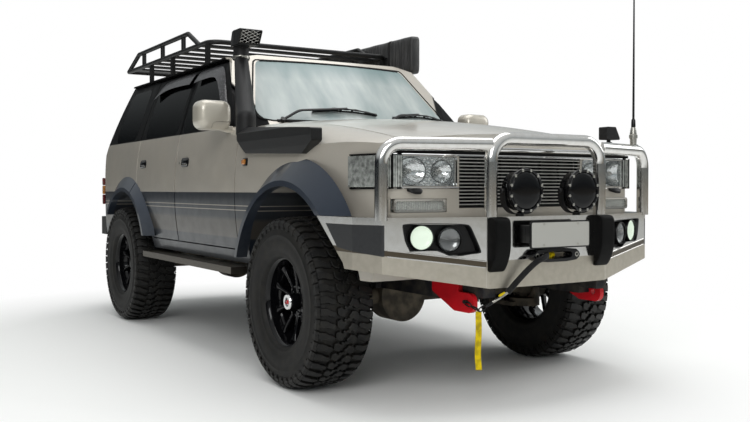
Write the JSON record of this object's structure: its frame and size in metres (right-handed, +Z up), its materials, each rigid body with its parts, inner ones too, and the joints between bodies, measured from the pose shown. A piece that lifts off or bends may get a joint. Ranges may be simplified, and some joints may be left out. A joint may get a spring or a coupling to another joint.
{
  "type": "lifted off-road 4x4",
  "caption": "Lifted off-road 4x4 with opening doors, bonnet and split tailgate, steered wheels, bull bar, snorkel, roof rack and awning.",
  "frame": {"origin": "on the floor under the middle of the vehicle's bounding box", "axes": "+X forwards, +Y to the vehicle's left, +Z up"},
  "size_m": [4.8484, 2.192, 2.3099],
  "materials": {
    "champagne_paint": "metallic clear coat",
    "slate_paint": "metallic clear coat",
    "cream_paint": "satin",
    "black_paint": "satin",
    "axle_paint": "dusty matt",
    "polished_alloy": "polished",
    "bright_steel": "satin",
    "cast_block": "rough",
    "tyre_rubber": "matt",
    "black_rubber": "matt",
    "black_plastic": "textured",
    "cabin_plastic": "matt",
    "lamp_lens": "clear over bright reflectors",
    "window_glass": "tinted",
    "bag_fabric": "coated cloth",
    "seat_fabric": "woven",
    "line_fibre": "braided"
  },
  "bodies": {
    "vehicle": {"body_shell": "champagne_paint", "fixed_glass": "window_glass", "lamps": "lamp_lens", "grille": "black_plastic", "flares": "slate_paint", "front_axle": "axle_paint", "rear_axle": "axle_paint", "driveline": "axle_paint", "chassis_frame": "black_paint", "engine_block": "cast_block", "bull_bar": "polished_alloy", "bar_buffers": "black_rubber", "driving_lamps": "lamp_lens", "fairlead": "black_plastic", "recovery_points": "bright_steel", "snorkel": "black_plastic", "roof_rack": "black_paint", "awning_bag": "bag_fabric", "side_steps": "bright_steel", "mudflaps": "black_rubber", "rear_bumper": "black_plastic", "seats": "seat_fabric", "dashboard": "cabin_plastic", "antenna": "black_paint", "winch_line": "line_fibre", "winch_hook": "bright_steel", "wing_mirror": "black_plastic"},
    "knuckle_right_body": {"knuckle_right": "axle_paint"},
    "knuckle_left_body": {"knuckle_left": "axle_paint"},
    "wheel_front_right": {"rim_front_right": "black_paint", "tyre_front_right": "tyre_rubber"},
    "wheel_front_left": {"rim_front_left": "black_paint", "tyre_front_left": "tyre_rubber"},
    "wheel_rear_right": {"rim_rear_right": "black_paint", "tyre_rear_right": "tyre_rubber"},
    "wheel_rear_left": {"rim_rear_left": "black_paint", "tyre_rear_left": "tyre_rubber"},
    "front_door_right": {"door_front_right": "champagne_paint", "door_glass_front_right": "window_glass", "mirror_right": "cream_paint"},
    "front_door_left": {"door_front_left": "champagne_paint", "door_glass_front_left": "window_glass", "mirror_left": "cream_paint"},
    "rear_door_right": {"door_rear_right": "champagne_paint", "door_glass_rear_right": "window_glass"},
    "rear_door_left": {"door_rear_left": "champagne_paint", "door_glass_rear_left": "window_glass"},
    "bonnet_lid": {"bonnet": "champagne_paint"},
    "upper_gate": {"tailgate_upper": "champagne_paint", "tailgate_glass": "window_glass"},
    "lower_gate": {"tailgate_lower": "champagne_paint"}
  },
  "joints": [
    {"name": "steer_right", "type": "hinge", "parent": "vehicle", "child": "knuckle_right_body", "pos_m": [1.39, -0.7, 0.4445], "axis": [0, 0, 1], "range_deg": [-30, 30]},
    {"name": "steer_left", "type": "hinge", "parent": "vehicle", "child": "knuckle_left_body", "pos_m": [1.39, 0.7, 0.4445], "axis": [0, 0, 1], "range_deg": [-30, 30]},
    {"name": "spin_front_right", "type": "hinge", "parent": "knuckle_right_body", "child": "wheel_front_right", "pos_m": [1.39, -0.8215, 0.4445], "axis": [0, 1, 0], "continuous": true},
    {"name": "spin_front_left", "type": "hinge", "parent": "knuckle_left_body", "child": "wheel_front_left", "pos_m": [1.39, 0.8215, 0.4445], "axis": [0, 1, 0], "continuous": true},
    {"name": "spin_rear_right", "type": "hinge", "parent": "vehicle", "child": "wheel_rear_right", "pos_m": [-1.46, -0.815, 0.4445], "axis": [0, 1, 0], "continuous": true},
    {"name": "spin_rear_left", "type": "hinge", "parent": "vehicle", "child": "wheel_rear_left", "pos_m": [-1.46, 0.815, 0.4445], "axis": [0, 1, 0], "continuous": true},
    {"name": "open_front_door_right", "type": "hinge", "parent": "vehicle", "child": "front_door_right", "pos_m": [0.658, -0.914, 1.1], "axis": [0, 0, 1], "range_deg": [0, 65]},
    {"name": "open_front_door_left", "type": "hinge", "parent": "vehicle", "child": "front_door_left", "pos_m": [0.658, 0.914, 1.1], "axis": [0, 0, -1], "range_deg": [0, 65]},
    {"name": "open_rear_door_right", "type": "hinge", "parent": "vehicle", "child": "rear_door_right", "pos_m": [-0.382, -0.914, 1.1], "axis": [0, 0, 1], "range_deg": [0, 65]},
    {"name": "open_rear_door_left", "type": "hinge", "parent": "vehicle", "child": "rear_door_left", "pos_m": [-0.382, 0.914, 1.1], "axis": [0, 0, -1], "range_deg": [0, 65]},
    {"name": "lift_bonnet", "type": "hinge", "parent": "vehicle", "child": "bonnet_lid", "pos_m": [0.765, 0, 1.46], "axis": [0, -1, 0], "range_deg": [0, 50]},
    {"name": "lift_upper_gate", "type": "hinge", "parent": "vehicle", "child": "upper_gate", "pos_m": [-1.91, 0, 1.868], "axis": [0, 1, 0], "range_deg": [0, 85]},
    {"name": "drop_lower_gate", "type": "hinge", "parent": "vehicle", "child": "lower_gate", "pos_m": [-2.17, 0, 0.806], "axis": [0, -1, 0], "range_deg": [0, 90]}
  ],
  "couplings": [
    {"joint": "steer_left", "follows": "steer_right", "ratio": 1}
  ]
}
